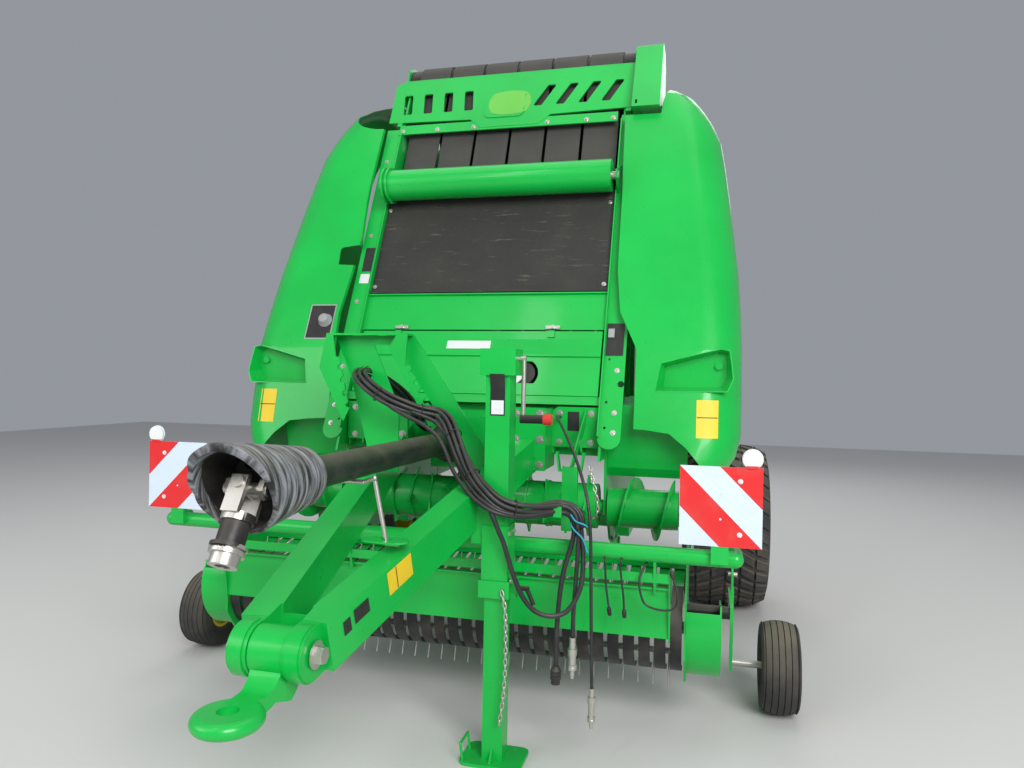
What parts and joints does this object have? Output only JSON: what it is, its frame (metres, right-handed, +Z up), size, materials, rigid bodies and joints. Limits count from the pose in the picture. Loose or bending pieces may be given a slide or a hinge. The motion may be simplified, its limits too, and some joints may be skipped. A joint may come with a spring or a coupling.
{
  "type": "round baler",
  "caption": "Towed round baler with belts, drawbar and ring hitch, pickup with gauge wheels, side shields and a lifting tailgate",
  "frame": {"origin": "on the ground, on the centre line, at the middle of the overall length", "axes": "+Z up, +Y to the tailgate, +X to the machine's left side seen in travel direction -Y"},
  "size_m": [2.901, 4.6098, 3.205],
  "materials": {
    "green_paint": "gloss paint",
    "rubber_sheet": "matt",
    "belt_rubber": "matt",
    "dark_steel": "satin",
    "zinc": "zinc plated",
    "guard_plastic": "matt",
    "tyre_rubber": "matt",
    "rim_paint": "gloss paint",
    "sign_sheet": "retroreflective stripes",
    "lamp_lens": "clear gloss",
    "hose_rubber": "matt",
    "rod_chrome": "polished"
  },
  "bodies": {
    "chassis": {"chamber_walls": "green_paint", "axle": "green_paint", "front_frame": "green_paint", "belt_guard": "rubber_sheet", "grille_plate": "green_paint", "front_belts": "belt_rubber", "belt_rollers": "dark_steel", "top_cowls": "green_paint", "front_beam": "green_paint", "drawbar": "green_paint", "gearbox": "green_paint", "hose_rack": "green_paint", "jack_tube": "green_paint", "jack_crank": "zinc", "shaft_support": "zinc", "lower_shields": "green_paint", "hose_bundle": "hose_rubber", "hose_loop": "hose_rubber", "plug_hose": "hose_rubber", "coupler_hose": "hose_rubber", "thin_hose": "hose_rubber", "hose_ends": "zinc"},
    "guide_roller": {"guide_roller": "green_paint"},
    "front_cover": {"front_cover": "green_paint"},
    "shield_left": {"shield_left": "green_paint"},
    "shield_right": {"shield_right": "green_paint"},
    "hitch": {"hitch": "green_paint"},
    "drive_shaft": {"drive_shaft": "guard_plastic"},
    "jack_leg": {"jack_leg": "green_paint"},
    "wheel_left": {"tyre_left": "tyre_rubber", "rim_left": "rim_paint"},
    "wheel_right": {"tyre_right": "tyre_rubber", "rim_right": "rim_paint"},
    "gauge_wheel_left": {"gauge_tyre_left": "tyre_rubber", "gauge_rim_left": "rim_paint"},
    "gauge_wheel_right": {"gauge_tyre_right": "tyre_rubber", "gauge_rim_right": "rim_paint"},
    "pickup": {"pickup_frame": "green_paint", "gauge_arms": "green_paint"},
    "reel": {"pickup_reel": "green_paint"},
    "wind_guard": {"wind_guard": "green_paint", "sign_boards": "sign_sheet"},
    "feed_rotor": {"feed_rotor": "green_paint"},
    "gate": {"gate_frame": "green_paint", "gate_belts": "belt_rubber", "gate_rollers": "dark_steel", "rear_lamps": "lamp_lens"},
    "gate_barrels": {"gate_barrels": "dark_steel"},
    "gate_rods": {"gate_rods": "rod_chrome"}
  },
  "joints": [
    {"name": "wheel_left_spin", "type": "hinge", "parent": "chassis", "child": "wheel_left", "pos_m": [-1.18, 1.22, 0.5], "axis": [1, 0, 0], "continuous": true},
    {"name": "wheel_right_spin", "type": "hinge", "parent": "chassis", "child": "wheel_right", "pos_m": [1.18, 1.22, 0.5], "axis": [1, 0, 0], "continuous": true},
    {"name": "pickup_lift", "type": "hinge", "parent": "chassis", "child": "pickup", "pos_m": [0, -0.11, 0.62], "axis": [-1, 0, 0], "range_deg": [0, 5]},
    {"name": "gauge_wheel_left_spin", "type": "hinge", "parent": "pickup", "child": "gauge_wheel_left", "pos_m": [-1.373, -0.38, 0.19], "axis": [1, 0, 0], "continuous": true},
    {"name": "gauge_wheel_right_spin", "type": "hinge", "parent": "pickup", "child": "gauge_wheel_right", "pos_m": [1.373, -0.38, 0.19], "axis": [1, 0, 0], "continuous": true},
    {"name": "reel_spin", "type": "hinge", "parent": "pickup", "child": "reel", "pos_m": [0, -0.64, 0.4], "axis": [1, 0, 0], "continuous": true},
    {"name": "wind_guard_lift", "type": "hinge", "parent": "pickup", "child": "wind_guard", "pos_m": [0, -0.46, 0.78], "axis": [-1, 0, 0], "range_deg": [0, 2.5]},
    {"name": "feed_rotor_spin", "type": "hinge", "parent": "chassis", "child": "feed_rotor", "pos_m": [0, -0.35, 0.82], "axis": [1, 0, 0], "continuous": true},
    {"name": "guide_roller_spin", "type": "hinge", "parent": "chassis", "child": "guide_roller", "pos_m": [0, -0.07989, 2.385], "axis": [1, 0, 0], "continuous": true},
    {"name": "front_cover_hinge", "type": "hinge", "parent": "chassis", "child": "front_cover", "pos_m": [0, -0.43651, 1.31511], "axis": [1, 0, 0], "range_deg": [0, 35]},
    {"name": "shield_left_hinge", "type": "hinge", "parent": "chassis", "child": "shield_left", "pos_m": [-0.7, 0.53, 2.93], "axis": [0, 1, 0], "range_deg": [0, 60]},
    {"name": "shield_right_hinge", "type": "hinge", "parent": "chassis", "child": "shield_right", "pos_m": [0.86, 0.6, 2.93], "axis": [0, -1, 0], "range_deg": [0, 60]},
    {"name": "hitch_tilt", "type": "hinge", "parent": "chassis", "child": "hitch", "pos_m": [0, -2.03, 0.68], "axis": [-1, 0, 0], "range_deg": [-8, 8]},
    {"name": "drive_shaft_lift", "type": "hinge", "parent": "chassis", "child": "drive_shaft", "pos_m": [0, -0.6, 1.115], "axis": [-1, 0, 0], "range_deg": [0, 3]},
    {"name": "jack_slide", "type": "slide", "parent": "chassis", "child": "jack_leg", "axis": [0, 0, 1], "range_m": [0, 0.4]},
    {"name": "gate_hinge", "type": "hinge", "parent": "chassis", "child": "gate", "pos_m": [0, 0.7, 2.93], "axis": [1, 0, 0], "range_deg": [0, 50]},
    {"name": "gate_barrel_turn", "type": "hinge", "parent": "chassis", "child": "gate_barrels", "pos_m": [0, 0.45, 1.05], "axis": [1, 0, 0], "range_deg": [0, 4.49]},
    {"name": "gate_rod_slide", "type": "slide", "parent": "gate_barrels", "child": "gate_rods", "axis": [0, 0.5623, 0.8269], "range_m": [0, 0.726]}
  ],
  "couplings": [
    {"joint": "gate_barrel_turn", "follows": "gate_hinge", "ratio": 0.08374},
    {"joint": "gate_rod_slide", "follows": "gate_hinge", "m_per_rad": 0.82849}
  ]
}
